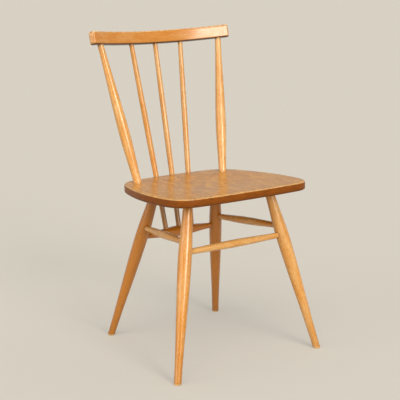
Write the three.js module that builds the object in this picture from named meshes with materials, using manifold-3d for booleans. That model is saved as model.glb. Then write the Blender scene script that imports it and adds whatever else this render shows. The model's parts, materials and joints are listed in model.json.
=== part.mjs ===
// A spindle-back dining chair: a solid seat on four splayed turned legs, four turned stretchers,
// two stout back posts, three slender spindles and a bent crest rail.
// Millimetres, +Z up, the sitter faces -Y. The floor under the middle of the chair is the origin.

import * as THREE from 'three';
import { mergeVertices } from 'three/addons/utils/BufferGeometryUtils.js';
import Module from 'manifold-3d';

const wasm = await Module();
wasm.setup();

// Driving dimensions

const jointGap = 0.3;            // air left round every tenon in its socket

const seatHeight = 436;          // top of the seat above the floor, at its middle
const seatSlope = THREE.MathUtils.degToRad(3.2);
const seatThickness = 21;
const seatFrontReach = 192;      // middle of the seat to its front edge
const seatRearReach = 165;       // middle of the seat to its rear edge
const seatFrontFlat = 100;       // half of the straightest run of the front edge
const seatCornerX = 202;         // the front corners
const seatCornerSetback = 11;
const seatSideX = 213;           // the widest place
const seatSideY = -60;
const seatWaistX = 197;          // where the sides turn in
const seatWaistY = 48;
const seatRearCornerX = 161;     // the rear corners
const seatRearCornerSetback = 13;
const seatRearFlat = 66;
const seatRounding = 4;          // rounded arris, top and bottom
const seatRoundingSegments = 2;
const seatCurveSegments = 7;     // on each curve of its outline
const dishDepth = 4.5;           // shallow saddle in the top
const dishHalfWidth = 160;
const dishHalfDepth = 128;
const dishY = -14;
const dishFacets = 32;
const dishRings = 3;

const frontFootX = 218.5;        // leg axes at the floor
const frontFootY = -196;
const rearFootX = 173;
const rearFootY = 196;
const frontLegTopX = 118.5;      // leg axes at the top of the seat
const frontLegInset = 94;        // from the seat's front edge
const rearLegTopX = 90;
const rearLegInset = 83;         // from its rear edge
const footDiameter = 18.5;
const legDiameter = 34;          // the swelling that takes the stretchers
const legTenonDiameter = 24;
const legSwell = 0.66;           // share of the leg below its swelling
const legNeck = 0.93;            // share of the leg below its tenon
const legSpare = 12;             // stock above the seat's top, which is trimmed off
const trimRoom = 60;             // thickness of the blocks that trim the legs

const wedgeThickness = 3;
const wedgeTip = 1;
const wedgeDepth = 16;
const wedgeInset = 1.5;          // the wedge stops this far inside the tenon's rim
const slotOverrun = 1;           // its slot runs this far past the tenon's rim

const frontStretcherDrop = 134;  // below the seat's top, on the leg axes
const rearStretcherDrop = 155;
const sideStretcherFrontDrop = 111;
const sideStretcherRearDrop = 129;
const stretcherDiameter = 20;
const stretcherEndDiameter = 14.5;
const rearStretcherDiameter = 29;
const rearStretcherEndDiameter = 13.5;
const stretcherSocket = 14;      // depth below the leg's surface

const crestLength = 435;         // along its bend
const crestHeight = 34.5;
const crestThickness = 19;
const crestBend = 550;           // radius of the bend
const crestRake = THREE.MathUtils.degToRad(15);
const crestSetback = 68.85;      // from the seat's rear edge to the middle of its lower edge
const crestRise = 333.5;         // of its lower edge above the seat
const crestRounding = 5;         // of its long edges
const crestRoundingSegments = 3;
const crestSteps = 24;           // along its bend
const crestSocket = 20;

const postBaseX = 134.5;         // post axes at the top of the seat
const postInset = 54;            // from the seat's rear edge
const postTopInset = 34;         // from each end of the crest rail
const postDiameter = 28;
const postTopDiameter = 15.5;
const postBaseDiameter = 21;
const postShoulder = 1;          // the post's end is this much slimmer
const postNeck = 0.04;           // share of the post below its shoulder
const postSwell = 0.34;          // share of the post below its swelling
const postSocket = 15;

const spindleTopX = 76.5;        // outer spindles at the crest rail
const spindleLowX = 40;          // and at the rear stretcher
const spindleDiameter = 15;
const spindleTopDiameter = 12.5;
const spindleLowDiameter = 13;
const spindleSwell = 0.55;       // share of the spindle below its swelling
const spindleSocket = 11;        // depth below the stretcher's surface

const beech = { color: 0xe3ab62, roughness: 0.38, metalness: 0 };
const elm = { color: 0xb58655, roughness: 0.34, metalness: 0 };
const darkBeech = { color: 0xa9743d, roughness: 0.5, metalness: 0 };

// Solids

// a closed body with shared corners and without the flat triangles that a pole leaves
function closed(geometry) {
  const bare = geometry.clone();
  bare.deleteAttribute('normal');
  bare.deleteAttribute('uv');
  const merged = mergeVertices(bare, 1e-3);
  const corners = merged.index.array;
  const kept = [];
  for (let i = 0; i < corners.length; i += 3) {
    const [a, b, c] = [corners[i], corners[i + 1], corners[i + 2]];
    if (a !== b && b !== c && c !== a) kept.push(a, b, c);
  }
  merged.setIndex(kept);
  return merged;
}

function solidOf(geometry) {
  const body = closed(geometry);
  return new wasm.Manifold(new wasm.Mesh({
    numProp: 3,
    vertProperties: new Float32Array(body.attributes.position.array),
    triVerts: new Uint32Array(body.index.array),
  }));
}

function geometryOf(solid) {
  const mesh = solid.getMesh();
  const geometry = new THREE.BufferGeometry();
  geometry.setAttribute('position', new THREE.BufferAttribute(new Float32Array(mesh.vertProperties), 3));
  geometry.setIndex(new THREE.BufferAttribute(new Uint32Array(mesh.triVerts), 1));
  return geometry;
}

// a piece is a geometry in a frame of its own, and the matrix that puts it in the chair
function cut(piece, cutters) {
  const toPiece = piece.matrix.clone().invert();
  let solid = solidOf(piece.geometry);
  for (const cutter of cutters) {
    const moved = cutter.geometry.clone().applyMatrix4(toPiece.clone().multiply(cutter.matrix));
    solid = solid.subtract(solidOf(moved));
  }
  return { geometry: geometryOf(solid), matrix: piece.matrix };
}

// Turned pieces stand on their own +Y axis. A profile is a list of [share of the length, diameter].
// grow makes the piece that much larger all over, which is how a neighbour's socket is cut.
const up = new THREE.Vector3(0, 1, 0);

function along(start, end) {
  const turn = new THREE.Quaternion().setFromUnitVectors(up, end.clone().sub(start).normalize());
  return new THREE.Matrix4().compose(start, turn, new THREE.Vector3(1, 1, 1));
}

function diameterAt(profile, share) {
  for (let i = 1; i < profile.length; i += 1) {
    const [s0, d0] = profile[i - 1];
    const [s1, d1] = profile[i];
    if (share <= s1) return d0 + (d1 - d0) * THREE.MathUtils.smoothstep(share, s0, s1);
  }
  return profile[profile.length - 1][1];
}

// rows of a smooth turned outline between the profile's named diameters
function turned(start, end, profile, { rows, facets, grow = 0 }) {
  const length = start.distanceTo(end);
  const outline = [new THREE.Vector2(0, -grow)];
  for (let i = 0; i <= rows; i += 1) {
    const share = i / rows;
    const radius = diameterAt(profile, share) / 2 + grow;
    const height = share * (length + 2 * grow) - grow;
    outline.push(new THREE.Vector2(radius, height));
  }
  outline.push(new THREE.Vector2(0, length + grow));
  return { geometry: new THREE.LatheGeometry(outline, facets), matrix: along(start, end) };
}

// Places

const seatFrame = new THREE.Matrix4()
  .makeTranslation(0, 0, seatHeight)
  .multiply(new THREE.Matrix4().makeRotationX(-seatSlope));

function onSeat(x, y) {
  return new THREE.Vector3(x, y, seatHeight - Math.tan(seatSlope) * y);
}

const crestFrame = new THREE.Matrix4()
  .makeTranslation(0, seatRearReach + crestSetback, seatHeight + crestRise)
  .multiply(new THREE.Matrix4().makeRotationX(-crestRake));

// a point in the middle of the rail's thickness, at a height above its lower edge
function inCrest(x, height) {
  const y = Math.sqrt(crestBend ** 2 - x ** 2) - crestBend;
  return new THREE.Vector3(x, y, height).applyMatrix4(crestFrame);
}

// how far up the axis from start to end a plane height lies
function atHeight(start, end, z) {
  return start.clone().lerp(end, (z - start.z) / (end.z - start.z));
}

function mirrored(x, side) {
  return side === 'left' ? -x : x;
}

// Seat

function seatOutline() {
  const half = [
    [seatFrontFlat, -seatFrontReach],
    [seatCornerX, -seatFrontReach + seatCornerSetback],
    [seatSideX, seatSideY],
    [seatWaistX, seatWaistY],
    [seatRearCornerX, seatRearReach - seatRearCornerSetback],
    [seatRearFlat, seatRearReach],
  ];
  const controls = [...half, ...half.map(([x, y]) => [-x, y]).reverse()];
  const shape = new THREE.Shape();
  shape.moveTo(0, -seatFrontReach);
  controls.forEach(([x, y], i) => {
    const [nextX, nextY] = controls[(i + 1) % controls.length];
    shape.quadraticCurveTo(x, y, (x + nextX) / 2, (y + nextY) / 2);
  });
  return shape;
}

function seatBlank() {
  const geometry = new THREE.ExtrudeGeometry(seatOutline(), {
    depth: seatThickness - 2 * seatRounding,
    bevelThickness: seatRounding,
    bevelSize: seatRounding,
    bevelOffset: -seatRounding,
    bevelSegments: seatRoundingSegments,
    curveSegments: seatCurveSegments,
  });
  geometry.translate(0, 0, seatRounding - seatThickness);
  return { geometry, matrix: seatFrame };
}

// the shallow saddle, as a lens that is taken out of the top
function dish() {
  const flare = 1.2;  // the lens goes on widening above the seat, so that its rim crosses the top cleanly
  const outline = [new THREE.Vector2(0, -dishDepth)];
  for (let i = 1; i <= dishRings; i += 1) {
    const share = i / dishRings;
    outline.push(new THREE.Vector2(share, -dishDepth * (1 - share * share)));
  }
  outline.push(new THREE.Vector2(flare, legSpare), new THREE.Vector2(0, legSpare));
  const geometry = new THREE.LatheGeometry(outline, dishFacets);
  geometry.rotateX(Math.PI / 2);
  geometry.scale(dishHalfWidth, dishHalfDepth, 1);
  geometry.translate(0, dishY, 0);
  return { geometry, matrix: seatFrame };
}

// everything above the seat's top, which trims the leg tenons flush
function aboveSeat() {
  const geometry = new THREE.BoxGeometry(2 * seatSideX, seatFrontReach + seatRearReach, trimRoom);
  geometry.translate(0, 0, trimRoom / 2);
  return { geometry, matrix: seatFrame };
}

// Legs

function legEnds(end, side) {
  const front = end === 'front';
  const foot = new THREE.Vector3(
    mirrored(front ? frontFootX : rearFootX, side), front ? frontFootY : rearFootY, 0);
  const top = onSeat(
    mirrored(front ? frontLegTopX : rearLegTopX, side),
    front ? frontLegInset - seatFrontReach : seatRearReach - rearLegInset);
  const direction = top.clone().sub(foot).normalize();
  return {
    foot,
    top,
    below: foot.clone().addScaledVector(direction, -footDiameter / 2),
    above: top.clone().addScaledVector(direction, legSpare),
  };
}

function legProfile() {
  return [[0, footDiameter], [legSwell, legDiameter], [legNeck, legTenonDiameter], [1, legTenonDiameter]];
}

function legBlank(end, side, grow = 0) {
  const { below, above } = legEnds(end, side);
  return turned(below, above, legProfile(), { rows: 9, facets: 20, grow });
}

// the floor, which trims each foot flat
function underFloor() {
  const reach = 2 * Math.max(frontFootX, rearFootX, -frontFootY, rearFootY) + 4 * footDiameter;
  const geometry = new THREE.BoxGeometry(reach, reach, trimRoom);
  geometry.translate(0, 0, -trimRoom / 2);
  return { geometry, matrix: new THREE.Matrix4() };
}

// a thin wedge across the top of a leg, driven in from above
function wedge(end, side, grow = 0) {
  const { foot, above } = legEnds(end, side);
  const axis = along(foot, above);
  const height = foot.distanceTo(above);
  const bottom = height - legSpare - wedgeDepth;
  const length = legTenonDiameter - 2 * wedgeInset;
  const shape = new THREE.Shape();
  shape.moveTo(-wedgeTip / 2 - grow, bottom - grow);
  shape.lineTo(wedgeTip / 2 + grow, bottom - grow);
  shape.lineTo(wedgeThickness / 2 + grow, height + grow);
  shape.lineTo(-wedgeThickness / 2 - grow, height + grow);
  const slot = grow > 0 ? legTenonDiameter + 2 * slotOverrun : length;
  const geometry = new THREE.ExtrudeGeometry(shape, { depth: slot, bevelEnabled: false });
  geometry.translate(0, 0, -slot / 2);
  geometry.rotateY(Math.PI / 2);
  return { geometry, matrix: axis };
}

// Stretchers

function legDiameterAt(end, side, point) {
  const { below, above } = legEnds(end, side);
  return diameterAt(legProfile(), below.distanceTo(point) / below.distanceTo(above));
}

// from one leg axis to another, and stopped inside each leg's socket
function stretcher([endA, sideA, dropA], [endB, sideB, dropB], middle, ends, grow = 0) {
  const legA = legEnds(endA, sideA);
  const legB = legEnds(endB, sideB);
  const onA = atHeight(legA.foot, legA.top, seatHeight - dropA);
  const onB = atHeight(legB.foot, legB.top, seatHeight - dropB);
  const run = onB.clone().sub(onA).normalize();
  const start = onA.clone().addScaledVector(run, legDiameterAt(endA, sideA, onA) / 2 - stretcherSocket);
  const stop = onB.clone().addScaledVector(run, stretcherSocket - legDiameterAt(endB, sideB, onB) / 2);
  return turned(start, stop, [[0, ends], [0.5, middle], [1, ends]], { rows: 8, facets: 16, grow });
}

const stretchers = {
  stretcher_front: (grow) => stretcher(
    ['front', 'left', frontStretcherDrop], ['front', 'right', frontStretcherDrop],
    stretcherDiameter, stretcherEndDiameter, grow),
  stretcher_rear: (grow) => stretcher(
    ['rear', 'left', rearStretcherDrop], ['rear', 'right', rearStretcherDrop],
    rearStretcherDiameter, rearStretcherEndDiameter, grow),
  stretcher_left: (grow) => stretcher(
    ['front', 'left', sideStretcherFrontDrop], ['rear', 'left', sideStretcherRearDrop],
    stretcherDiameter, stretcherEndDiameter, grow),
  stretcher_right: (grow) => stretcher(
    ['front', 'right', sideStretcherFrontDrop], ['rear', 'right', sideStretcherRearDrop],
    stretcherDiameter, stretcherEndDiameter, grow),
};

// Back

// the middle line of the rail's lower edge, a level arc that is hollow towards the sitter
class CrestBend extends THREE.Curve {
  getPoint(share, target = new THREE.Vector3()) {
    const angle = (share - 0.5) * crestLength / crestBend;
    return target.set(crestBend * Math.sin(angle), crestBend * (Math.cos(angle) - 1), 0);
  }
}

function crestBlank() {
  // the section's own x runs downwards once it is swept, so the rail's height is negative here
  const r = crestRounding;
  const side = crestThickness / 2 - r;
  const section = new THREE.Shape();
  section.absarc(-r, side, r, 0, Math.PI / 2, false);
  section.absarc(r - crestHeight, side, r, Math.PI / 2, Math.PI, false);
  section.absarc(r - crestHeight, -side, r, Math.PI, 1.5 * Math.PI, false);
  section.absarc(-r, -side, r, 1.5 * Math.PI, 2 * Math.PI, false);
  const geometry = new THREE.ExtrudeGeometry(section, {
    steps: crestSteps,
    curveSegments: crestRoundingSegments,
    bevelEnabled: false,
    extrudePath: new CrestBend(),
  });
  return { geometry, matrix: crestFrame };
}

function post(side, grow = 0) {
  const seatPoint = onSeat(mirrored(postBaseX, side), seatRearReach - postInset);
  const railPoint = inCrest(mirrored(crestLength / 2 - postTopInset, side), 0);
  const direction = railPoint.clone().sub(seatPoint).normalize();
  const start = seatPoint.clone().addScaledVector(direction, -postSocket);
  const stop = railPoint.clone().addScaledVector(direction, crestSocket);
  const profile = [
    [0, postBaseDiameter - postShoulder],
    [postNeck, postBaseDiameter],
    [postSwell, postDiameter],
    [1, postTopDiameter],
  ];
  return turned(start, stop, profile, { rows: 9, facets: 18, grow });
}

function spindle(place, grow = 0) {
  const rearLeg = legEnds('rear', 'right');
  const axisPoint = atHeight(rearLeg.foot, rearLeg.top, seatHeight - rearStretcherDrop);
  const low = new THREE.Vector3(place * spindleLowX, axisPoint.y, axisPoint.z);
  const railPoint = inCrest(place * spindleTopX, 0);
  const direction = railPoint.clone().sub(low).normalize();
  const start = low.clone().addScaledVector(direction, rearStretcherDiameter / 2 - spindleSocket);
  const stop = railPoint.clone().addScaledVector(direction, crestSocket);
  const profile = [[0, spindleLowDiameter], [spindleSwell, spindleDiameter], [1, spindleTopDiameter]];
  return turned(start, stop, profile, { rows: 6, facets: 14, grow });
}

// Assembly

const ends = ['front', 'rear'];
const sides = ['left', 'right'];
const spindles = { spindle_left: -1, spindle_centre: 0, spindle_right: 1 };

const chair = new THREE.Group();

function add(name, piece, finish) {
  const mesh = new THREE.Mesh(closed(piece.geometry), new THREE.MeshStandardMaterial(finish));
  mesh.name = name;
  piece.matrix.decompose(mesh.position, mesh.quaternion, mesh.scale);
  chair.add(mesh);
}

const everySide = (make) => sides.map((side) => make(side));
const everyLeg = (make) => ends.flatMap((end) => sides.map((side) => make(end, side)));
const everySpindle = (make) => Object.values(spindles).map((place) => make(place));
const everyStretcher = (grow) => Object.values(stretchers).map((make) => make(grow));

add('seat', cut(seatBlank(), [
  dish(),
  ...everyLeg((end, side) => legBlank(end, side, jointGap)),
  ...everySide((side) => post(side, jointGap)),
  ...everySpindle((place) => spindle(place, jointGap)),
]), elm);

everyLeg((end, side) => {
  const leg = cut(legBlank(end, side), [
    underFloor(), aboveSeat(), dish(), wedge(end, side, jointGap), ...everyStretcher(jointGap),
  ]);
  add(`leg_${end}_${side}`, leg, beech);
  add(`leg_wedge_${end}_${side}`, cut(wedge(end, side), [aboveSeat(), dish()]), darkBeech);
});

for (const [name, make] of Object.entries(stretchers)) {
  const sockets = name === 'stretcher_rear' ? everySpindle((place) => spindle(place, jointGap)) : [];
  add(name, cut(make(0), sockets), beech);
}

everySide((side) => add(`post_${side}`, post(side), beech));
for (const [name, place] of Object.entries(spindles)) add(name, spindle(place), beech);

add('crest_rail', cut(crestBlank(), [
  ...everySide((side) => post(side, jointGap)),
  ...everySpindle((place) => spindle(place, jointGap)),
]), beech);

// the origin goes to the floor under the middle of the whole chair
chair.updateMatrixWorld(true);
const middle = new THREE.Box3().setFromObject(chair, true).getCenter(new THREE.Vector3());
chair.position.set(-middle.x, -middle.y, 0);

export default chair;
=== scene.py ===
"""A spindle-back dining chair in turned beech with a shaped elm seat, set out as a Blender add-on.

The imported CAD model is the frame, and each piece here stands for its node. The turned pieces and the
wedges take their places from it. The seat and the crest rail have theirs written here.
Lengths are metres, and millimetres where a name ends in _mm and in every position in the timber.
"""

import json
import math

import bmesh
import bpy
import numpy as np
from mathutils import Matrix, Vector, noise


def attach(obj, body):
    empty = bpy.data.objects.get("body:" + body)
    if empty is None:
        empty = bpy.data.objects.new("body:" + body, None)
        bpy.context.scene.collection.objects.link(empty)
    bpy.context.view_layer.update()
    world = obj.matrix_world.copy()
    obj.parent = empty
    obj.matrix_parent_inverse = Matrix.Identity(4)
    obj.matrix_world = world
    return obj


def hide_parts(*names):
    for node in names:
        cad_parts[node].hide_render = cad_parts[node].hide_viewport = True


bl_info = {
    "name": "Spindle-back dining chair",
    "version": (1, 0, 0),
    "blender": (4, 5, 0),
    "location": "View3D > Sidebar > Chair",
    "description": "Builds a turned beech dining chair with a shaped elm seat, and a plain studio for it",
    "category": "Object",
}

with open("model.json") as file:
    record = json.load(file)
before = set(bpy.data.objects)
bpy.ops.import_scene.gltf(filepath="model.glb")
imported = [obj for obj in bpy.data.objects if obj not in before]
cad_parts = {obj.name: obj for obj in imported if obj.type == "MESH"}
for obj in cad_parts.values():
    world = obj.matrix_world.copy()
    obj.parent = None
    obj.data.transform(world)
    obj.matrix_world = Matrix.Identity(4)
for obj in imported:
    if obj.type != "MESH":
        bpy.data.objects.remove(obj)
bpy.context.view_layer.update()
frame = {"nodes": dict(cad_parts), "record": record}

MM = 0.001
ENDS = ("front", "rear")
SIDES = ("left", "right")
SPINDLES = ("left", "centre", "right")
STRETCHERS = ("front", "rear", "left", "right")
STICKS = ("post_left", "post_right", *(f"spindle_{place}" for place in SPINDLES))

# The seat's own frame lies in the plane of its top, under the middle of the feet.
ROW_SHIFT_Y = -0.022685
SEAT_HEIGHT = 0.436
SEAT_SLOPE = math.radians(3.2)
SEAT_FRAME = Matrix.Translation((0, ROW_SHIFT_Y, SEAT_HEIGHT)) @ Matrix.Rotation(-SEAT_SLOPE, 4, "X")
TO_SEAT = SEAT_FRAME.inverted()

# Right half of the seat's outline, front to rear, as the corners of a smooth curve.
SEAT_CORNERS_MM = ((100, -192), (202, -181), (213, -60), (197, 48), (161, 152), (66, 165))

# The hollow of the seat is an oval round this middle, with these half widths and a softened rim.
SADDLE_MIDDLE_Y = -0.014
SADDLE_HALF_WIDTH = 0.160
SADDLE_HALF_DEPTH = 0.128
SADDLE_SOFTNESS = 0.03

# What a leg's stock has above the seat before it is trimmed, and what is left proud of the seat.
LEG_SPARE = 0.012
LEG_PROUD = 0.0002
WEDGE_PROUD = 0.00045

# A leg shows end grain down to the first depth, and a wedge's upper corners lie within the second.
CROWN_DEPTH = 0.004
WEDGE_TOP_DEPTH = 0.008

# A worn foot's chamfer is this many times as high as it is wide.
CHAMFER_RISE = 1.8

# How deep the sticks' tenons go into the crest rail.
CREST_SOCKET = 0.020

# The crest rail's own frame starts at the middle of its lower edge and leans back.
CREST_PLACE = Vector((0, 0.23385 + ROW_SHIFT_Y, 0.7695))
CREST_RAKE = math.radians(15)
CREST_FRAME = Matrix.Translation(CREST_PLACE) @ Matrix.Rotation(-CREST_RAKE, 4, "X")

# Each turned piece's grain is turned by this angle from the last one's, in radians.
GOLDEN_ANGLE = 2.399

# The camera's place, and the way back to it from what it looks at, in degrees.
CAMERA_PLACE = (-1.5809, -2.2729, 1.0279)
CAMERA_AZIMUTH = -34.8
CAMERA_ELEVATION = 13.1
CAMERA_LENS_MM = 99
CAMERA_SENSOR_MM = 36


def linear(code):
    """An sRGB hex colour as three linear values."""
    values = [int(code[i:i + 2], 16) / 255 for i in (1, 3, 5)]
    return tuple(v / 12.92 if v <= 0.04045 else ((v + 0.055) / 1.055) ** 2.4 for v in values)


# Properties

TINT = {"subtype": "COLOR", "min": 0, "max": 1}


class ChairSizes(bpy.types.PropertyGroup):
    """Sizes of the chair's pieces"""

    foot: bpy.props.FloatProperty(
        name="Foot", description="Diameter of a leg at the floor", default=0.0185, unit="LENGTH")
    leg: bpy.props.FloatProperty(
        name="Leg", description="Diameter of a leg where the stretchers enter", default=0.034, unit="LENGTH")
    leg_tenon: bpy.props.FloatProperty(
        name="Leg tenon", description="Diameter of a leg in the seat", default=0.024, unit="LENGTH")
    foot_chamfer: bpy.props.FloatProperty(
        name="Foot chamfer", description="Worn chamfer round each foot", default=0.0016, unit="LENGTH")
    stretcher: bpy.props.FloatProperty(
        name="Stretcher", description="Diameter of the slim stretchers", default=0.020, unit="LENGTH")
    stretcher_end: bpy.props.FloatProperty(
        name="Stretcher end", description="Diameter of their ends", default=0.0145, unit="LENGTH")
    rear_stretcher: bpy.props.FloatProperty(
        name="Rear stretcher", description="Diameter of the stout one", default=0.029, unit="LENGTH")
    rear_stretcher_end: bpy.props.FloatProperty(
        name="Rear stretcher end", description="Diameter of its ends", default=0.0135, unit="LENGTH")
    post: bpy.props.FloatProperty(
        name="Post", description="Diameter of a post at its swelling", default=0.028, unit="LENGTH")
    post_base: bpy.props.FloatProperty(
        name="Post base", description="Diameter of a post at the seat", default=0.021, unit="LENGTH")
    post_top: bpy.props.FloatProperty(
        name="Post top", description="Diameter of a post at the crest rail", default=0.0155, unit="LENGTH")
    spindle: bpy.props.FloatProperty(
        name="Spindle", description="Diameter of a spindle at its middle", default=0.015, unit="LENGTH")
    spindle_low: bpy.props.FloatProperty(
        name="Spindle foot", description="Diameter in the rear stretcher", default=0.013, unit="LENGTH")
    spindle_top: bpy.props.FloatProperty(
        name="Spindle top", description="Diameter in the crest rail", default=0.0125, unit="LENGTH")
    seat_thickness: bpy.props.FloatProperty(
        name="Seat thickness", description="Thickness of the seat board", default=0.021, unit="LENGTH")
    seat_arris: bpy.props.FloatProperty(
        name="Seat arris", description="Radius worn on the seat's edges", default=0.004, unit="LENGTH")
    saddle: bpy.props.FloatProperty(
        name="Saddle", description="Depth of the hollow in the seat", default=0.0045, unit="LENGTH")
    crest_length: bpy.props.FloatProperty(
        name="Crest length", description="Length along its bend", default=0.435, unit="LENGTH")
    crest_height: bpy.props.FloatProperty(
        name="Crest height", description="Height of the crest rail", default=0.0345, unit="LENGTH")
    crest_thickness: bpy.props.FloatProperty(
        name="Crest thickness", description="Thickness of the rail", default=0.019, unit="LENGTH")
    crest_bend: bpy.props.FloatProperty(
        name="Crest bend", description="Radius of the rail's bend", default=0.55, unit="LENGTH")
    crest_arris: bpy.props.FloatProperty(
        name="Crest arris", description="Radius of the rail's long edges", default=0.005, unit="LENGTH")


class ChairFinishes(bpy.types.PropertyGroup):
    """Colours of the chair's timbers"""

    beech: bpy.props.FloatVectorProperty(
        name="Beech", description="Lacquered beech where it is clean", **TINT,
        default=linear("#E09638"))
    # also laid on well-lit pieces by their tone, as painted light
    beech_light: bpy.props.FloatVectorProperty(
        name="Light beech", description="Paler layers and rubbed places", **TINT,
        default=linear("#EAB670"))
    # also laid on shaded pieces by their depth, as painted shade
    beech_dark: bpy.props.FloatVectorProperty(
        name="Dark beech", description="Flecks and darker layers", **TINT,
        default=linear("#B46A12"))
    bare_beech: bpy.props.FloatVectorProperty(
        name="Bare beech", description="Timber with no lacquer left", **TINT,
        default=linear("#E4C48E"))
    elm: bpy.props.FloatVectorProperty(
        name="Elm", description="Waxed elm on the seat's top", **TINT,
        default=linear("#C68632"))
    elm_light: bpy.props.FloatVectorProperty(
        name="Light elm", description="Early wood of the elm", **TINT,
        default=linear("#E0A250"))
    elm_dark: bpy.props.FloatVectorProperty(
        name="Dark elm", description="Late wood and pores of the elm", **TINT,
        default=linear("#8A5220"))
    elm_edge: bpy.props.FloatVectorProperty(
        name="Elm edge", description="The seat's edge, deeper in finish", **TINT,
        default=linear("#924C04"))
    # also laid on as painted shade: round the joints, at the leg tops, along the crest rail's lower edge and
    # on the spindles below the seat
    grime_and_shade: bpy.props.FloatVectorProperty(
        name="Grime", description="Dirt and old finish in the joints", **TINT,
        default=linear("#4A2A10"))


class ChairStudio(bpy.types.PropertyGroup):
    """The floor and the light"""

    floor: bpy.props.FloatVectorProperty(
        name="Floor", description="Colour of the floor", **TINT,
        default=linear("#B4AFA4"))
    key: bpy.props.FloatProperty(
        name="Key light", description="Strength of the low light from the front", default=1.6, min=0)
    side: bpy.props.FloatProperty(
        name="Side light", description="Strength of the low broad light from the left", default=1.25, min=0)
    fill: bpy.props.FloatProperty(
        name="Fill light", description="Strength of the broad light above the camera", default=1.3, min=0)
    far: bpy.props.FloatProperty(
        name="Far light", description="Strength of the broad light on the right", default=0.22, min=0)
    overhead: bpy.props.FloatProperty(
        name="Overhead light", description="Strength of the very broad light from above", default=0.5, min=0)
    sky: bpy.props.FloatProperty(
        name="Sky", description="Strength of the light from all round", default=0.2, min=0)
    wall: bpy.props.FloatProperty(
        name="Wall", description="Strength of the pale walls that the gloss mirrors", default=0.6, min=0)


# Places taken from the frame

def node_points(name):
    """The different corners of a CAD node, in the row frame."""
    node = frame["nodes"][name]
    points = np.array([node.matrix_world @ v.co for v in node.data.vertices])
    return np.unique(points.round(6), axis=0)


def turned_axis(name):
    """The two ends of a turned CAD piece's axis, lower one first."""
    points = node_points(name)
    middle = points.mean(axis=0)
    direction = np.linalg.svd(points - middle)[2][0]
    for _ in range(3):
        heights = (points - middle) @ direction
        low = points[heights < heights.min() + MM].mean(axis=0)
        high = points[heights > heights.max() - MM].mean(axis=0)
        direction = (high - low) / np.linalg.norm(high - low)
    if abs(direction[2]) > 0.5 and direction[2] < 0:
        low, high = high, low
    return Vector(low), Vector(high)


def leg_axis(end, side):
    """The foot's middle on the floor, and the direction of the leg, which its wedge also follows."""
    mounts = {m["name"]: m for m in frame["record"]["mounts"]}
    foot = Vector(mounts[f"foot_{end}_{side}"]["pos_m"])
    wedge = node_points(f"leg_wedge_{end}_{side}")
    lowest = wedge[np.argsort(wedge[:, 2])[:4]].mean(axis=0)
    return foot, (Vector(lowest) - foot).normalized()


def stand(origin, direction):
    """A frame at origin with its Z along direction."""
    turn = direction.to_track_quat("Z", "Y").to_matrix().to_4x4()
    return Matrix.Translation(origin) @ turn


def saddle_at(x, y, depth):
    """Height of the seat's top in its own frame, in metres: a hollow that fades into a flat rim."""
    across = 1 - (x / SADDLE_HALF_WIDTH) ** 2 - ((y - SADDLE_MIDDLE_Y) / SADDLE_HALF_DEPTH) ** 2
    return -depth / 2 * (across + math.sqrt(across * across + SADDLE_SOFTNESS))


def above_plane(point):
    """How far a point of the row frame stands above the plane of the seat's flat rim."""
    return (TO_SEAT @ point).z


def above_seat(point, depth):
    """How far a point of the row frame stands above the seat's hollowed top."""
    local = TO_SEAT @ point
    return local.z - saddle_at(local.x, local.y, depth)


def seat_entry(name, depth):
    """Where the axis of a stick meets the seat's top."""
    low, high = turned_axis(name)
    run = (high - low).normalized()
    point = low
    for _ in range(6):
        point = point - run * above_seat(point, depth) / run.z
    return point


def crest_entry(name):
    """Where the axis of a stick meets the crest rail's lower edge."""
    low, high = turned_axis(name)
    return high - (high - low).normalized() * CREST_SOCKET


def diameter_at(profile, share):
    """Diameter at a share of the length, eased between the named ones as a turner's gouge would."""
    for (s0, d0), (s1, d1) in zip(profile, profile[1:]):
        if share <= s1:
            t = max(0.0, min(1.0, (share - s0) / (s1 - s0)))
            return d0 + (d1 - d0) * t * t * (3 - 2 * t)
    return profile[-1][1]


# Meshes

def finish_piece(name, mesh_builder, place, timber, rub, nodes, material, sharp=38):
    """Turns a bmesh into a piece with its timber and wear attributes, and ties it to the frame."""
    mesh = bpy.data.meshes.new(name)
    bmesh.ops.recalc_face_normals(mesh_builder, faces=mesh_builder.faces)
    mesh_builder.to_mesh(mesh)
    mesh_builder.free()
    mesh.attributes.new("timber", "FLOAT_VECTOR", "POINT")
    mesh.attributes.new("rub", "FLOAT", "POINT")
    mesh.attributes["timber"].data.foreach_set("vector", [c for v in mesh.vertices for c in timber(v.co)])
    mesh.attributes["rub"].data.foreach_set("value", [rub(v.co) for v in mesh.vertices])
    mesh.transform(place)
    mesh.polygons.foreach_set("use_smooth", [True] * len(mesh.polygons))
    mesh.set_sharp_from_angle(angle=math.radians(sharp))
    mesh.materials.append(material)
    piece = bpy.data.objects.new(name, mesh)
    bpy.context.scene.collection.objects.link(piece)
    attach(piece, "root")
    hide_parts(*nodes)


def skin(rows):
    """Quads between equal rings of points, with a fan over each end ring."""
    made = bmesh.new()
    rings = [[made.verts.new(p) for p in row] for row in rows]
    for lower, upper in zip(rings, rings[1:]):
        for i, corner in enumerate(lower):
            j = (i + 1) % len(lower)
            made.faces.new((corner, lower[j], upper[j], upper[i]))
    for ring in (rings[0], rings[-1]):
        middle = made.verts.new(sum((v.co for v in ring), Vector()) / len(ring))
        for i, corner in enumerate(ring):
            made.faces.new((corner, ring[(i + 1) % len(ring)], middle))
    return made


def circle(radius, height_at, sides):
    """A ring round Z whose height may differ from point to point."""
    ring = []
    for i in range(sides):
        turn = 2 * math.pi * i / sides
        x, y = radius * math.cos(turn), radius * math.sin(turn)
        ring.append(Vector((x, y, height_at(x, y))))
    return ring


def in_millimetres(co):
    """The place in the timber of a turned piece: across, across and along."""
    return (co.x / MM, co.y / MM, co.z / MM)


def no_wear(co):
    """For a piece that nothing rubs."""
    return 0.0


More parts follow.
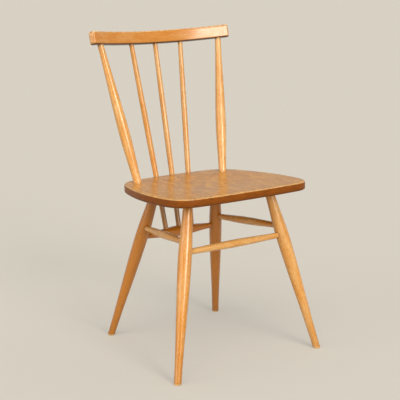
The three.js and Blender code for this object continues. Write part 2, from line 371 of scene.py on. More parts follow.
def turned_rows(length, profile, rings, sides):
    """Rings of a turned piece that stands on its own Z."""
    rows = []
    for i in range(rings + 1):
        share = i / rings
        radius = diameter_at(profile, share) / 2
        rows.append(circle(radius, lambda x, y, h=share * length: h, sides))
    return rows


def turned_piece(name, profile, material, rub=no_wear, rings=56, sides=40):
    """A turned piece along the axis of the CAD node with the same name."""
    low, high = turned_axis(name)
    place = stand(low, high - low)
    rows = turned_rows((high - low).length, profile, rings, sides)
    finish_piece(name + "_turned", skin(rows), place, in_millimetres, rub, [name], material)


# Materials

def add(tree, kind, inputs=None, output=0, **settings):
    """Adds a node, sets or links its inputs, and gives back one of its outputs."""
    node = tree.nodes.new(kind)
    for name, value in settings.items():
        setattr(node, name, value)
    for name, value in (inputs or {}).items():
        if isinstance(value, bpy.types.NodeSocket):
            tree.links.new(value, node.inputs[name])
        else:
            node.inputs[name].default_value = value
    return node.outputs[output]


def new_tree(name):
    """A new material and its empty node tree."""
    material = bpy.data.materials.new(name)
    material.use_nodes = True
    material.node_tree.nodes.clear()
    return material, material.node_tree


def opaque(colour):
    """A colour with the fourth value that colour sockets take."""
    return (*colour, 1.0)


def pattern(tree, place, size_mm, detail=2.0, roughness=0.5, distortion=0.0):
    """Noise whose grains are about size_mm across in each direction of the timber."""
    scaled = add(tree, "ShaderNodeVectorMath", {0: place, 1: tuple(1 / s for s in size_mm)},
                 operation="MULTIPLY")
    return add(tree, "ShaderNodeTexNoise", {
        "Vector": scaled, "Scale": 1.0, "Detail": detail, "Roughness": roughness, "Distortion": distortion})


def joint_dirt_and_shade(tree, place, joints, ragged):
    """Dark rims where pieces meet, partly dirt and partly painted shade. joints holds a point, a radius in
    millimetres and a strength.
    """
    grime_and_shade = 0.0
    for point, radius, strength in joints:
        away = add(tree, "ShaderNodeVectorMath", {0: place, 1: point}, output=1, operation="DISTANCE")
        rough = add(tree, "ShaderNodeMath", {0: ragged, 1: 4.0, 2: away}, operation="MULTIPLY_ADD")
        near = add(tree, "ShaderNodeMapRange", {
            "Value": rough, "From Min": radius + 1.5, "From Max": radius + 6.0, "To Min": strength,
            "To Max": 0.0}, interpolation_type="SMOOTHSTEP")
        grime_and_shade = add(tree, "ShaderNodeMath", {0: grime_and_shade, 1: near}, operation="MAXIMUM")
    return grime_and_shade


def lacquered_beech(name, seed, tone_and_painted_light=0.5, joints=(), gloss=0.22, deep_and_painted_shade=0.0, crown=None, painted_underside_shade=None,
                    painted_shade_top=None):
    """Beech, turned or bent, under an old amber lacquer.

    A sharp tool leaves it smooth, so its layers show as faint long loops and its rays as short darker
    flecks. The lacquer gives a satin gloss, thinner and paler where hands and shoes have rubbed it.

    Its tone runs from mostly the clean colour at 0 to mostly the light one at 1, and its depth mixes in
    the dark one; on the legs, stretchers and sticks both are set so that well-lit pieces come out paler
    and shaded ones darker, which is painted light and shade. gloss is the mean roughness. joints holds
    the dark rims, partly dirt and partly painted shade. The last three are heights in the timber: for
    legs, crown, where the waxed end grain starts; for the crest rail, where the painted shade along its
    lower edge stops; and for spindles, where the painted shade below the seat stops.
    """
    look = bpy.context.scene.chair_finishes
    material, tree = new_tree(name)
    local = add(tree, "ShaderNodeAttribute", output="Vector", attribute_name="timber")
    shift = (31.7 * seed, 17.3 * seed, 211.9 * seed)
    place = add(tree, "ShaderNodeVectorMath", {0: local, 1: shift}, operation="ADD")

    # growth layers 5 mm apart, which is coarser than real beech so that they show
    spacing = 5.0
    lean = GOLDEN_ANGLE * seed
    across = add(tree, "ShaderNodeVectorMath", {0: place, 1: (math.cos(lean), math.sin(lean), 0.004)},
                 output=1, operation="DOT_PRODUCT")
    wander = pattern(tree, place, (28, 28, 110), detail=3)
    bent = add(tree, "ShaderNodeMath", {0: wander, 1: 16.0, 2: across}, operation="MULTIPLY_ADD")
    wave = add(tree, "ShaderNodeMath", {0: bent, 1: 2 * math.pi / spacing}, operation="MULTIPLY")
    layers = add(tree, "ShaderNodeMath", {0: wave}, operation="SINE")
    drift = pattern(tree, place, (18, 18, 70), detail=4, roughness=0.6)
    streaks = pattern(tree, place, (2.2, 2.2, 60), detail=3, roughness=0.6)
    rays = pattern(tree, place, (1.3, 1.3, 7), detail=1)

    # small dark bruises, the highest peaks of a 6 mm noise, so about 2 mm across and well apart
    dents = pattern(tree, place, (6, 6, 10), detail=0)

    # bare timber where the piece is rubbed, with a ragged edge
    ragged = pattern(tree, place, (5, 5, 9), detail=4, roughness=0.65)
    worn = add(tree, "ShaderNodeAttribute", output="Fac", attribute_name="rub")
    both = add(tree, "ShaderNodeMath", {0: worn, 1: ragged}, operation="ADD")

    # how much of each colour lies on the timber, from where its pattern starts and is full
    amounts = []
    for source, start, full, least, most in (
            (drift, 0.35, 0.68, tone_and_painted_light - 0.5, tone_and_painted_light + 0.25), (layers, 0.1, 1.0, 0.0, 0.16),
            (streaks, 0.45, 0.75, 0.0, 0.38), (rays, 0.55, 0.69, 0.0, 0.6),
            (dents, 0.83, 0.87, 0.0, 0.45), (both, 0.95, 1.15, 0.0, 0.9)):
        amounts.append(add(tree, "ShaderNodeMapRange", {
            "Value": source, "From Min": start, "From Max": full, "To Min": least, "To Max": most},
            interpolation_type="SMOOTHSTEP"))
    pale, late, streaky, flecks, bruise, bare = amounts

    # the light and dark beech laid on by each piece's tone and depth stand partly for painted light and
    # shade
    coats = [(pale, look.beech_light), (deep_and_painted_shade, look.beech_dark), (late, look.beech_dark),
             (streaky, look.beech_dark), (flecks, look.beech_dark), (bruise, look.grime_and_shade),
             (bare, look.bare_beech)]
    # painted shade: the crest rail's lower edge is darkened up to this height
    if painted_underside_shade:
        height = add(tree, "ShaderNodeSeparateXYZ", {0: local}, output=1)
        lowest = add(tree, "ShaderNodeMapRange", {
            "Value": height, "From Min": 2.0, "From Max": painted_underside_shade, "To Min": 1.0, "To Max": 0.0})
        coats.append((lowest, look.grime_and_shade))
    # painted shade: a spindle is darkened below the seat, which shades it
    if painted_shade_top:
        height = add(tree, "ShaderNodeSeparateXYZ", {0: local}, output=2)
        painted_shade_under_seat = add(tree, "ShaderNodeMapRange", {
            "Value": height, "From Min": painted_shade_top - 40.0, "From Max": painted_shade_top,
            "To Min": 0.45, "To Max": 0.1})
        coats.append((painted_shade_under_seat, look.grime_and_shade))
    if crown:
        height = add(tree, "ShaderNodeSeparateXYZ", {0: local}, output=2)
        topmost = add(tree, "ShaderNodeMapRange", {
            "Value": height, "From Min": crown, "From Max": crown + 1.0, "To Max": 0.8})
        # darker towards the foot, with specks about 2 mm across
        low = add(tree, "ShaderNodeMapRange", {
            "Value": height, "From Min": 15.0, "From Max": 150.0, "To Min": 0.16, "To Max": 0.0})
        grit = pattern(tree, place, (3, 3, 5), detail=2)
        specks = add(tree, "ShaderNodeMapRange", {
            "Value": grit, "From Min": 0.60, "From Max": 0.70, "To Min": 1.0, "To Max": 4.0},
            interpolation_type="SMOOTHSTEP")
        dull = add(tree, "ShaderNodeMath", {0: low, 1: specks}, operation="MULTIPLY")
        coats += [(topmost, look.elm), (dull, look.grime_and_shade)]
    if joints:
        coats.append((joint_dirt_and_shade(tree, local, joints, ragged), look.grime_and_shade))
    colour = opaque(look.beech)
    for amount, tint in coats:
        colour = add(tree, "ShaderNodeMix", {0: amount, 6: colour, 7: opaque(tint)},
                     output=2, data_type="RGBA")

    smear = pattern(tree, place, (22, 22, 60), detail=4, roughness=0.6)
    satin = add(tree, "ShaderNodeMapRange", {
        "Value": smear, "From Min": 0.3, "From Max": 0.7, "To Min": gloss - 0.05, "To Max": gloss + 0.10})
    rough = add(tree, "ShaderNodeMath", {0: bare, 1: 0.3, 2: satin}, operation="MULTIPLY_ADD")
    relief = add(tree, "ShaderNodeMath", {0: bruise, 1: -1.5, 2: streaks}, operation="MULTIPLY_ADD")
    relief = add(tree, "ShaderNodeMath", {0: rays, 1: 1.3, 2: relief}, operation="MULTIPLY_ADD")
    bump = add(tree, "ShaderNodeBump", {"Strength": 0.4, "Distance": 0.0003, "Height": relief})
    shader = add(tree, "ShaderNodeBsdfPrincipled", {
        "Base Color": colour, "Roughness": rough, "Normal": bump, "IOR": 1.5,
        "Coat Weight": 0.4, "Coat Roughness": 0.2, "Coat IOR": 1.5})
    add_output(tree, shader)
    return material


def waxed_elm(name, joints):
    """Elm board, planed and hollowed by hand, then waxed and sat on for years.

    Its wide growth layers show as long pointed loops with rows of open pores. Wax and wear give it a
    soft gloss that mirrors the sticks, a paler rubbed rim, and an edge that stays deeper in colour.
    """
    look = bpy.context.scene.chair_finishes
    material, tree = new_tree(name)
    local = add(tree, "ShaderNodeAttribute", output="Vector", attribute_name="timber")

    # layers 9 mm apart round a heart that lies under the board
    spacing = 9.0
    heart = add(tree, "ShaderNodeVectorMath", {0: local, 1: (38, 70, 0)}, operation="ADD")
    flat = add(tree, "ShaderNodeVectorMath", {0: heart, 1: (1, 1.6, 0.09)}, operation="MULTIPLY")
    away = add(tree, "ShaderNodeVectorMath", {0: flat}, output=1, operation="LENGTH")
    wander = pattern(tree, local, (70, 70, 190), detail=4, roughness=0.55)
    bent = add(tree, "ShaderNodeMath", {0: wander, 1: 60.0, 2: away}, operation="MULTIPLY_ADD")
    wave = add(tree, "ShaderNodeMath", {0: bent, 1: 2 * math.pi / spacing}, operation="MULTIPLY")
    layers = add(tree, "ShaderNodeMath", {0: wave}, operation="SINE")
    mottle = pattern(tree, local, (26, 26, 70), detail=5, roughness=0.75)
    pores = pattern(tree, local, (1.1, 1.1, 7), detail=1)

    # bare timber along the rubbed rim, with a ragged edge
    ragged = pattern(tree, local, (6, 6, 12), detail=4, roughness=0.65)
    worn = add(tree, "ShaderNodeAttribute", output="Fac", attribute_name="rub")
    both = add(tree, "ShaderNodeMath", {0: worn, 1: ragged}, operation="ADD")

    # how much of each colour lies on the board, whose side is what lies below the top
    level = add(tree, "ShaderNodeSeparateXYZ", {0: local}, output=1)
    amounts = []
    for source, start, full, most in (
            (layers, -0.2, 1.0, 0.36), (mottle, 0.40, 0.63, 0.9), (pores, 0.56, 0.70, 0.28),
            (level, -0.8, -3.5, 1.0), (both, 0.80, 1.30, 0.6)):
        amounts.append(add(tree, "ShaderNodeMapRange", {
            "Value": source, "From Min": start, "From Max": full, "To Max": most},
            interpolation_type="SMOOTHSTEP"))
    late, pale, dashes, edge, bare = amounts

    # scuffs and dirt on the side, and the side darker towards the bottom
    scuffs = pattern(tree, local, (15, 2.4, 15), detail=4, roughness=0.65)
    soiled = add(tree, "ShaderNodeMapRange", {
        "Value": scuffs, "From Min": 0.48, "From Max": 0.60, "To Max": 0.6})
    bottom = add(tree, "ShaderNodeMapRange", {
        "Value": level, "From Min": -11.0, "From Max": -18.0, "To Max": 0.6})
    soiled = add(tree, "ShaderNodeMath", {0: soiled, 1: bottom}, operation="MAXIMUM")
    soiled = add(tree, "ShaderNodeMath", {0: soiled, 1: edge}, operation="MULTIPLY")

    grime_and_shade = joint_dirt_and_shade(tree, local, joints, ragged)
    colour = opaque(look.elm)
    for amount, tint in (
            (pale, look.elm_light), (edge, look.elm_edge), (soiled, look.grime_and_shade), (late, look.elm_dark),
            (dashes, look.elm_dark), (bare, look.bare_beech), (grime_and_shade, look.grime_and_shade)):
        colour = add(tree, "ShaderNodeMix", {0: amount, 6: colour, 7: opaque(tint)},
                     output=2, data_type="RGBA")

    satin = add(tree, "ShaderNodeMapRange", {
        "Value": mottle, "From Min": 0.3, "From Max": 0.7, "To Min": 0.20, "To Max": 0.32})
    rough = add(tree, "ShaderNodeMath", {0: edge, 1: 0.12, 2: satin}, operation="MULTIPLY_ADD")
    dry = add(tree, "ShaderNodeMapRange", {"Value": edge, "To Min": 0.5, "To Max": 0.2})
    relief = add(tree, "ShaderNodeMath", {0: dashes, 1: -0.6, 2: mottle}, operation="MULTIPLY_ADD")
    bump = add(tree, "ShaderNodeBump", {"Strength": 0.3, "Distance": 0.0003, "Height": relief})
    shader = add(tree, "ShaderNodeBsdfPrincipled", {
        "Base Color": colour, "Roughness": rough, "Normal": bump, "IOR": 1.44, "Specular IOR Level": dry})
    add_output(tree, shader)
    return material


def wedge_end_grain(name):
    """End grain of a beech wedge, trimmed nearly flush, which drinks in more finish and goes dark."""
    look = bpy.context.scene.chair_finishes
    material, tree = new_tree(name)
    local = add(tree, "ShaderNodeAttribute", output="Vector", attribute_name="timber")
    pits = pattern(tree, local, (0.8, 0.8, 0.8), detail=2)
    colour = add(tree, "ShaderNodeMix", {0: pits, 6: opaque(look.elm), 7: opaque(look.elm_dark)},
                 output=2, data_type="RGBA")
    bump = add(tree, "ShaderNodeBump", {"Strength": 0.2, "Distance": 0.0001, "Height": pits})
    shader = add(tree, "ShaderNodeBsdfPrincipled", {
        "Base Color": colour, "Roughness": 0.45, "Normal": bump, "IOR": 1.5})
    add_output(tree, shader)
    return material


def seen_or_mirrored(tree):
    """1 on rays from the camera, a mirroring surface or a clear one, and 0 on those that carry light."""
    seen = 0.0
    for ray in ("Is Camera Ray", "Is Glossy Ray", "Is Transmission Ray"):
        seen = add(tree, "ShaderNodeMath", {0: seen, 1: add(tree, "ShaderNodeLightPath", output=ray)},
                   operation="MAXIMUM")
    return seen


def pale_floor(name, colour):
    """A matt painted studio floor, which shows the chair's soft shadow and little else.

    It looks a little paler than it is, so that it throws less light back up on the chair.
    """
    material, tree = new_tree(name)
    shader = add(tree, "ShaderNodeBsdfPrincipled", {
        "Base Color": opaque(colour), "Roughness": 0.9, "IOR": 1.45, "Specular IOR Level": 0.0})
    lift = add(tree, "ShaderNodeMath", {0: seen_or_mirrored(tree), 1: 0.28}, operation="MULTIPLY")
    glow = add(tree, "ShaderNodeEmission", {"Color": opaque(linear("#F4F1EA")), "Strength": lift})
    both = add(tree, "ShaderNodeAddShader", {0: shader, 1: glow})
    add_output(tree, both)
    return material


def add_output(tree, shader):
    """Ends a material's tree with its output, which has no socket to give back."""
    add(tree, "ShaderNodeOutputMaterial", {"Surface": shader}, output=slice(0))


# Operators

def sizes():
    """The sizes set in the scene."""
    return bpy.context.scene.chair_sizes


def leg_profile():
    """Shares of a leg's length, from the foot, and its diameters there."""
    s = sizes()
    return ((0, s.foot), (0.66, s.leg), (0.93, s.leg_tenon), (1, s.leg_tenon))


def in_timber(place, point):
    """A row-frame point in a piece's own millimetres."""
    return tuple((place.inverted() @ point) / MM)


def leg_stock(end, side):
    """Start, direction and length of the leg's stock, which runs past the floor and the seat's top."""
    foot, direction = leg_axis(end, side)
    start = foot - direction * sizes().foot / 2
    reach = 0.2
    for _ in range(8):
        reach -= above_plane(foot + direction * reach) / direction.z
    return start, direction, reach + sizes().foot / 2 + LEG_SPARE


def mouth(way, end, side):
    """Where a stretcher enters a leg, on the leg's surface, in the row frame."""
    low, high = turned_axis(f"stretcher_{way}")
    start, direction, length = leg_stock(end, side)
    if (low - start).cross(direction).length > (high - start).cross(direction).length:
        low, high = high, low
    along = max(0.0, min(length, (low - start).dot(direction)))
    radius = diameter_at(leg_profile(), along / length) / 2
    return start + direction * along + (high - low).normalized() * radius


def stretcher_legs(way):
    """The legs that a stretcher joins."""
    if way in ENDS:
        return ((way, "left"), (way, "right"))
    return (("front", way), ("rear", way))


class CHAIR_OT_seat(bpy.types.Operator):
    """Builds the hollowed elm seat board"""

    bl_idname = "chair.seat"
    bl_label = "Seat"

    def outline(self, steps=16):
        """Points of a smooth closed curve inside the seat's corners, in metres, and its normals."""
        half = [Vector(c) * MM for c in SEAT_CORNERS_MM]
        corners = half + [Vector((-c.x, c.y)) for c in reversed(half)]
        points = []
        for i, corner in enumerate(corners):
            before = (corners[i - 1] + corner) / 2
            after = (corner + corners[(i + 1) % len(corners)]) / 2
            for k in range(steps):
                t = k / steps
                points.append(before * (1 - t) ** 2 + corner * 2 * t * (1 - t) + after * t * t)
        normals = []
        for i, _ in enumerate(points):
            along = points[(i + 1) % len(points)] - points[i - 1]
            normals.append(Vector((along.y, -along.x)).normalized())
        return points, normals

    def execute(self, context):
        s = sizes()
        points, normals = self.outline()
        centre = Vector((0, SADDLE_MIDDLE_Y))
        thick, arris = s.seat_thickness, s.seat_arris
        lower_arris = arris * 0.85
        top_rings, arris_rings, side_rings, lower_rings, bottom_rings = 30, 7, 5, 5, 12

        def top_row(share):
            """A ring on the hollowed top, its outline shrunk to this share."""
            row = []
            for p, n in zip(points, normals):
                rim = p - n * arris
                q = centre + (rim - centre) * share
                row.append(Vector((q.x, q.y, saddle_at(q.x, q.y, s.saddle))))
            return row

        def edge_row(inset, drop):
            """A ring round the edge, slightly uneven as a hand leaves it."""
            row = []
            for p, n in zip(points, normals):
                q = p - n * inset
                wobble = noise.noise(Vector((q.x, q.y, drop)) * 60) * 0.0003
                rim = p - n * arris
                hollow = saddle_at(rim.x, rim.y, s.saddle) * (1 - drop / thick)
                row.append(Vector((q.x + n.x * wobble, q.y + n.y * wobble, hollow - drop)))
            return row

        rows = []
        for i in range(1, top_rings + 1):
            rows.append(top_row((i / top_rings) ** 0.8))
        for i in range(1, arris_rings + 1):
            turn = math.pi / 2 * i / arris_rings
            rows.append(edge_row(arris * (1 - math.sin(turn)), arris * (1 - math.cos(turn))))
        for i in range(1, side_rings):
            rows.append(edge_row(0, arris + (thick - arris - lower_arris) * i / side_rings))
        for i in range(lower_rings + 1):
            turn = math.pi / 2 * i / lower_rings
            rows.append(edge_row(lower_arris * (1 - math.cos(turn)),
                                 thick - lower_arris * (1 - math.sin(turn))))
        flat = rows[-1]
        for i in range(1, bottom_rings):
            share = 1 - i / bottom_rings
            rows.append([Vector((q.x * share, q.y * share, -thick)) for q in flat])
        rim = [p - n * arris * 0.4 for p, n in zip(points, normals)]
        rim_x = np.array([p.x for p in rim])
        rim_y = np.array([p.y for p in rim])

        def rub(co):
            """Wear along the upper edge, most at the front left corner."""
            away = math.sqrt(float(((rim_x - co.x) ** 2 + (rim_y - co.y) ** 2).min()))
            drop = abs(co.z + 0.0008)
            near = max(0.0, 1 - max(away, drop) / 0.0035)
            corner = max(0.0, min(1.0, 0.75 - co.x * 1.6 - co.y * 2.2))
            return near * (0.15 + 0.6 * corner)

        def timber(co):
            """The place in the timber: across, up from the hollowed top and to the rear."""
            above_top = co.z - saddle_at(co.x, co.y, s.saddle)
            return (co.x / MM, above_top / MM, co.y / MM)

        joints = []
        for name in STICKS:
            diameter = s.post_base if name.startswith("post") else s.spindle
            joints.append((timber(TO_SEAT @ seat_entry(name, s.saddle)), diameter / MM / 2, 0.5))
        for end in ENDS:
            for side in SIDES:
                start, direction, length = leg_stock(end, side)
                point = start + direction * (length - LEG_SPARE - thick)
                joints.append((timber(TO_SEAT @ point), s.leg_tenon / MM / 2, 0.5))
        finish_piece("seat_board", skin(rows), SEAT_FRAME, timber, rub, ["seat"],
                     waxed_elm("waxed_elm", joints), sharp=60)
        return {"FINISHED"}


class CHAIR_OT_legs(bpy.types.Operator):
    """Builds the four turned legs and the wedges in their tops"""

    bl_idname = "chair.legs"
    bl_label = "Legs"

    rings: bpy.props.IntProperty(name="Rings", description="Rings along each leg", default=72, min=8)
    facets: bpy.props.IntProperty(name="Facets", description="Facets round each leg", default=48, min=8)

    def leg(self, end, side, seed, tone_and_painted_light, deep_and_painted_shade):
        """One leg, which stands on the floor and follows the seat's hollow at its top."""
        s = sizes()
        start, direction, length = leg_stock(end, side)
        place = stand(start, direction)
        profile = leg_profile()
        trimmed = length - LEG_SPARE

        def radius_at(height):
            return diameter_at(profile, height / length) / 2

        def floor_height(x, y):
            base = place @ Vector((x, y, 0))
            return -base.z / direction.z

        def seat_height(x, y):
            height = trimmed
            for _ in range(5):
                over = above_seat(place @ Vector((x, y, height)), s.saddle)
                height -= (over - LEG_PROUD) / direction.z
            return height

        rows = []
        foot = radius_at(s.foot / 2)
        crown = radius_at(trimmed)
        chamfer = s.foot_chamfer
        rise = CHAMFER_RISE * chamfer
        foot_rings = 4
        for i in range(foot_rings + 1):
            turn = math.pi / 2 * i / foot_rings
            radius = foot - chamfer * (1 - math.sin(turn))
            lift = rise * (1 - math.cos(turn))
            rows.append(circle(radius, lambda x, y, up=lift: floor_height(x, y) + up, self.facets))
        for i in range(1, self.rings + 1):
            share = i / self.rings
            height = s.foot / 2 + rise + (trimmed - s.foot / 2) * share
            radius = radius_at(min(height, trimmed))

            def eased(x, y, share=share):
                low = floor_height(x, y) + rise
                return low + (seat_height(x, y) - low) * share
            rows.append(circle(radius, eased, self.facets))
        rows.append(circle(crown * 0.5, seat_height, self.facets))

        # painted shade: the wide, strong rim at the leg's top stands for the seat's shadow, and the rims at
        # the stretchers are partly painted shade too
        joints = [(in_timber(place, start + direction * (trimmed - s.seat_thickness)), 18, 0.8)]
        for way in STRETCHERS:
            if (end, side) in stretcher_legs(way):
                diameter = s.rear_stretcher_end if way == "rear" else s.stretcher_end
                joints.append((in_timber(place, mouth(way, end, side)), diameter / MM / 2, 0.4))

        def rub(co):
            """Bare timber on the lowest 7 mm of the foot."""
            lift = (place @ co).z
            return max(0.0, min(1.0, 1.15 - lift / 0.0065))

        name = f"leg_{end}_{side}"
        material = lacquered_beech(f"lacquered_turned_beech_{name}", seed, tone_and_painted_light, joints, deep_and_painted_shade=deep_and_painted_shade,
                                   crown=(trimmed - CROWN_DEPTH) / MM)
        finish_piece(name + "_turned", skin(rows), place, in_millimetres, rub, [name],
                     material)

    def wedge(self, end, side, material):
        """The wedge in a leg's top, trimmed to the seat's hollow."""
        name = f"leg_wedge_{end}_{side}"
        node = frame["nodes"][name]
        start, direction, _ = leg_stock(end, side)
        place = stand(start, direction)
        made = bmesh.new()
        made.from_mesh(node.data)
        bmesh.ops.remove_doubles(made, verts=made.verts, dist=1e-5)
        for vert in made.verts:
            point = node.matrix_world @ vert.co
            if above_plane(point) > -WEDGE_TOP_DEPTH:
                for _ in range(5):
                    over = above_seat(point, sizes().saddle)
                    point -= direction * (over - WEDGE_PROUD) / direction.z
            vert.co = place.inverted() @ point
        finish_piece(name + "_driven", made, place, in_millimetres, no_wear, [name], material)

    def execute(self, context):
        # painted light and shade: the rear legs, which the seat shades, get darker tones and the front ones
        # paler
        lit_and_shaded_tones = {"front_left": (0.35, 0.1), "front_right": (0.7, 0),
                 "rear_left": (0, 0.6), "rear_right": (0, 0.75)}
        wood = wedge_end_grain("darkened_wedge_end_grain")
        seed = 1
        for end in ENDS:
            for side in SIDES:
                self.leg(end, side, seed, *lit_and_shaded_tones[f"{end}_{side}"])
                self.wedge(end, side, wood)
                seed += 1
        return {"FINISHED"}


class CHAIR_OT_stretchers(bpy.types.Operator):
    """Builds the four turned stretchers between the legs"""

    bl_idname = "chair.stretchers"
    bl_label = "Stretchers"

    def execute(self, context):
        s = sizes()
        # painted light and shade: the rear stretcher, which the seat shades, is darker, and the front and
        # left ones, where the light falls, are paler
        lit_and_shaded_tones = {"front": (1.0, 0), "rear": (0, 0.9), "left": (0.75, 0), "right": (0.5, 0)}
        for seed, way in enumerate(STRETCHERS, start=11):
            name = f"stretcher_{way}"
            low, high = turned_axis(name)
            stout = way == "rear"
            middle = s.rear_stretcher if stout else s.stretcher
            ends = s.rear_stretcher_end if stout else s.stretcher_end
            place = stand(low, high - low)
            joints = [(in_timber(place, mouth(way, *leg)), ends / MM / 2, 0.15)
                      for leg in stretcher_legs(way)]
            tone_and_painted_light, deep_and_painted_shade = lit_and_shaded_tones[way]
            material = lacquered_beech(f"lacquered_turned_beech_{name}", seed, tone_and_painted_light, joints, deep_and_painted_shade=deep_and_painted_shade)
            turned_piece(name, ((0, ends), (0.5, middle), (1, ends)), material)
        return {"FINISHED"}


class CHAIR_OT_sticks(bpy.types.Operator):
    """Builds the two back posts and the three spindles"""

    bl_idname = "chair.sticks"
    bl_label = "Posts and spindles"

    def execute(self, context):
        s = sizes()
        post = ((0, s.post_base - 0.001), (0.04, s.post_base), (0.34, s.post), (1, s.post_top))
        spindle = ((0, s.spindle_low), (0.55, s.spindle), (1, s.spindle_top))
        # painted sheen: the posts and spindles get paler tones that stand in for the sheen on them
        pieces = {"post_left": (post, 0.85), "post_right": (post, 1.0)}
        for way, tone_and_painted_light in zip(SPINDLES, (0.55, 0.75, 0.95)):
            pieces[f"spindle_{way}"] = (spindle, tone_and_painted_light)
        for seed, (name, (profile, tone_and_painted_light)) in enumerate(pieces.items(), start=21):
            low, high = turned_axis(name)
            place = stand(low, high - low)
            in_seat = in_timber(place, seat_entry(name, s.saddle))
            in_crest = in_timber(place, crest_entry(name))
            joints = [(in_seat, profile[1][1] / MM / 2 - 2, 0.4),
                      (in_crest, profile[-1][1] / MM / 2 - 1, 0.5)]
            # painted shade on the spindles below the seat
            below = in_seat[2] if profile is spindle else None
            material = lacquered_beech(f"lacquered_turned_beech_{name}", seed, tone_and_painted_light, joints, painted_shade_top=below)
            turned_piece(name, profile, material, rings=72)
        return {"FINISHED"}


class CHAIR_OT_crest_rail(bpy.types.Operator):
    """Builds the bent crest rail with its softened edges and sawn ends"""

    bl_idname = "chair.crest_rail"
    bl_label = "Crest rail"

    def section(self, inset):
        """Rounded outline of the rail across its length, as thickness and height."""
        s = sizes()
        radius = s.crest_arris - inset * 0.4
        half = s.crest_thickness / 2 - inset
        low, high = inset, s.crest_height - inset
        points = []
        steps = 6
        flat = 0.0008  # a narrow strip beside each rounding keeps the shading of the faces flat
        corners = ((half, high, 0), (-half, high, 1), (-half, low, 2), (half, low, 3))
        for x, z, quarter in corners:
            middle = Vector((x - math.copysign(radius, x), z - radius if quarter < 2 else z + radius))
            for k in range(steps + 1):
                turn = math.pi / 2 * (quarter + k / steps)
                outward = Vector((math.cos(turn), math.sin(turn)))
                onward = Vector((-math.sin(turn), math.cos(turn))) * flat
                point = middle + radius * outward
                points += [point - onward] if k == 0 else []
                points.append(point)
                points += [point + onward] if k == steps else []
        return points

    def execute(self, context):
        s = sizes()
        soft = 0.004  # the rounding of the sawn ends
        bays, end_rings = 64, 4

        def ring(along, inset):
            """The rail's section at a place along its bend."""
            angle = along / s.crest_bend
            spot = Vector((math.sin(angle), math.cos(angle) - 1, 0)) * s.crest_bend
            out = Vector((math.sin(angle), math.cos(angle), 0))
            return [spot + out * p.x + Vector((0, 0, p.y)) for p in self.section(inset)]

        half = s.crest_length / 2
        rows = []
        for i in range(end_rings + 1):
            turn = math.pi / 2 * i / end_rings
            rows.append(ring(-half + soft * (1 - math.cos(turn)), soft * (1 - math.sin(turn))))
        for i in range(1, bays):
            rows.append(ring(-half + soft + (s.crest_length - 2 * soft) * i / bays, 0))
        for i in range(end_rings + 1):
            turn = math.pi / 2 * (1 - i / end_rings)
            rows.append(ring(half - soft * (1 - math.cos(turn)), soft * (1 - math.sin(turn))))

        def unbent(co):
            """The place in the timber with the bend taken out: thickness, height and along."""
            angle = math.atan2(co.x, co.y + s.crest_bend)
            out = math.hypot(co.x, co.y + s.crest_bend) - s.crest_bend
            return (out / MM, co.z / MM, angle * s.crest_bend / MM)

        def rub(co):
            """Wear along the upper edges and on the sawn ends."""
            thick, height, along = unbent(co)
            side = abs(abs(thick) * MM - s.crest_thickness / 2 + 0.0015)
            edge = abs(height * MM - s.crest_height + 0.0015)
            arris = max(0.0, 1 - max(side, edge) / 0.0050)
            end = max(0.0, 1 - (half - abs(along) * MM) / 0.005)
            return 0.62 * arris + 0.48 * end

        joints = []
        for name in STICKS:
            diameter = s.post_top if name.startswith("post") else s.spindle_top
            joints.append((unbent(CREST_FRAME.inverted() @ crest_entry(name)), diameter / MM / 2, 0.5))
        # painted shade along the crest rail's lower edge
        material = lacquered_beech("lacquered_bent_beech", 31, 0.4, joints, gloss=0.2, deep_and_painted_shade=0.4,
                                   painted_underside_shade=4.6)
        finish_piece("crest_rail_bent", skin(rows), CREST_FRAME, unbent, rub, ["crest_rail"],
                     material)
        return {"FINISHED"}


def heading(azimuth, elevation):
    """The way to a light or camera, in degrees: azimuth 0 is the front and 90 the sitter's left."""
    turn, rise = math.radians(azimuth), math.radians(elevation)
    return Vector((math.sin(turn) * math.cos(rise), -math.cos(turn) * math.cos(rise), math.sin(rise)))


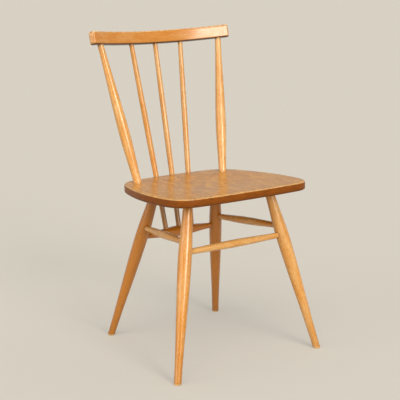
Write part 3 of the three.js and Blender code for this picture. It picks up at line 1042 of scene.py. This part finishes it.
class CHAIR_OT_studio(bpy.types.Operator):
    """Builds the floor, the lights and the camera"""

    bl_idname = "chair.studio"
    bl_label = "Studio"

    def execute(self, context):
        studio = context.scene.chair_studio
        made = bmesh.new()
        bmesh.ops.create_circle(made, cap_ends=True, cap_tris=True, segments=96, radius=40)
        mesh = bpy.data.meshes.new("studio_floor")
        made.to_mesh(mesh)
        made.free()
        mesh.materials.append(pale_floor("matt_studio_paint", studio.floor))
        floor = bpy.data.objects.new("studio_floor", mesh)
        context.scene.collection.objects.link(floor)

        lights = (("key", studio.key, 23, "#FFF8EE", -1, 19),
                  ("side", studio.side, 50, "#FFFAF2", -93, 14),
                  ("fill", studio.fill, 60, "#FFFAF2", -30, 48),
                  ("far", studio.far, 80, "#FFFFFF", 95, 30),
                  ("overhead", studio.overhead, 90, "#FFFFFF", 0, 84))
        for name, strength, spread, tint, azimuth, elevation in lights:
            lamp = bpy.data.lights.new(name, "SUN")
            lamp.energy = strength
            lamp.angle = math.radians(spread)
            lamp.color = linear(tint)
            light = bpy.data.objects.new(name, lamp)
            light.rotation_euler = heading(azimuth, elevation).to_track_quat("Z", "Y").to_euler()
            context.scene.collection.objects.link(light)

        world = bpy.data.worlds.new("studio_sky")
        world.use_nodes = True
        world.node_tree.nodes.clear()
        tree = world.node_tree
        seen = seen_or_mirrored(tree)
        strength = add(tree, "ShaderNodeMapRange", {
            "Value": seen, "To Min": studio.sky, "To Max": studio.wall})
        glow = add(tree, "ShaderNodeBackground", {"Color": opaque(linear("#F4EFE4")), "Strength": strength})
        add(tree, "ShaderNodeOutputWorld", {"Surface": glow}, output=slice(0))
        context.scene.world = world
        context.scene.view_settings.view_transform = "Standard"

        lens = bpy.data.cameras.new("camera")
        lens.sensor_width = CAMERA_SENSOR_MM
        lens.lens = CAMERA_LENS_MM
        lens.clip_end = 100
        camera = bpy.data.objects.new("camera", lens)
        camera.location = CAMERA_PLACE
        camera.rotation_euler = heading(CAMERA_AZIMUTH, CAMERA_ELEVATION).to_track_quat("Z", "Y").to_euler()
        context.scene.collection.objects.link(camera)
        context.scene.camera = camera
        return {"FINISHED"}


class CHAIR_PT_panel(bpy.types.Panel):
    """Sizes, finishes and steps of the chair"""

    bl_idname = "CHAIR_PT_panel"
    bl_label = "Spindle-back chair"
    bl_space_type = "VIEW_3D"
    bl_region_type = "UI"
    bl_category = "Chair"

    def draw(self, context):
        """Lists every size, finish and light, then the steps."""
        for group in (context.scene.chair_sizes, context.scene.chair_finishes, context.scene.chair_studio):
            column = self.layout.column(align=True)
            for name in group.__annotations__:
                column.prop(group, name)
        for step in STEPS:
            self.layout.operator(step.bl_idname)


STEPS = (CHAIR_OT_seat, CHAIR_OT_legs, CHAIR_OT_stretchers, CHAIR_OT_sticks, CHAIR_OT_crest_rail,
         CHAIR_OT_studio)
CLASSES = (ChairSizes, ChairFinishes, ChairStudio, *STEPS, CHAIR_PT_panel)


def register():
    """Registers the classes and hangs the three groups on the scene."""
    for kind in CLASSES:
        bpy.utils.register_class(kind)
    bpy.types.Scene.chair_sizes = bpy.props.PointerProperty(type=ChairSizes)
    bpy.types.Scene.chair_finishes = bpy.props.PointerProperty(type=ChairFinishes)
    bpy.types.Scene.chair_studio = bpy.props.PointerProperty(type=ChairStudio)


def unregister():
    """Takes both off again."""
    del bpy.types.Scene.chair_studio
    del bpy.types.Scene.chair_finishes
    del bpy.types.Scene.chair_sizes
    for kind in reversed(CLASSES):
        bpy.utils.unregister_class(kind)


def main():
    """Registers the add-on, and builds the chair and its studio."""
    register()
    for step in (bpy.ops.chair.seat, bpy.ops.chair.legs, bpy.ops.chair.stretchers, bpy.ops.chair.sticks,
                 bpy.ops.chair.crest_rail, bpy.ops.chair.studio):
        step()


if __name__ == "__main__":
    main()
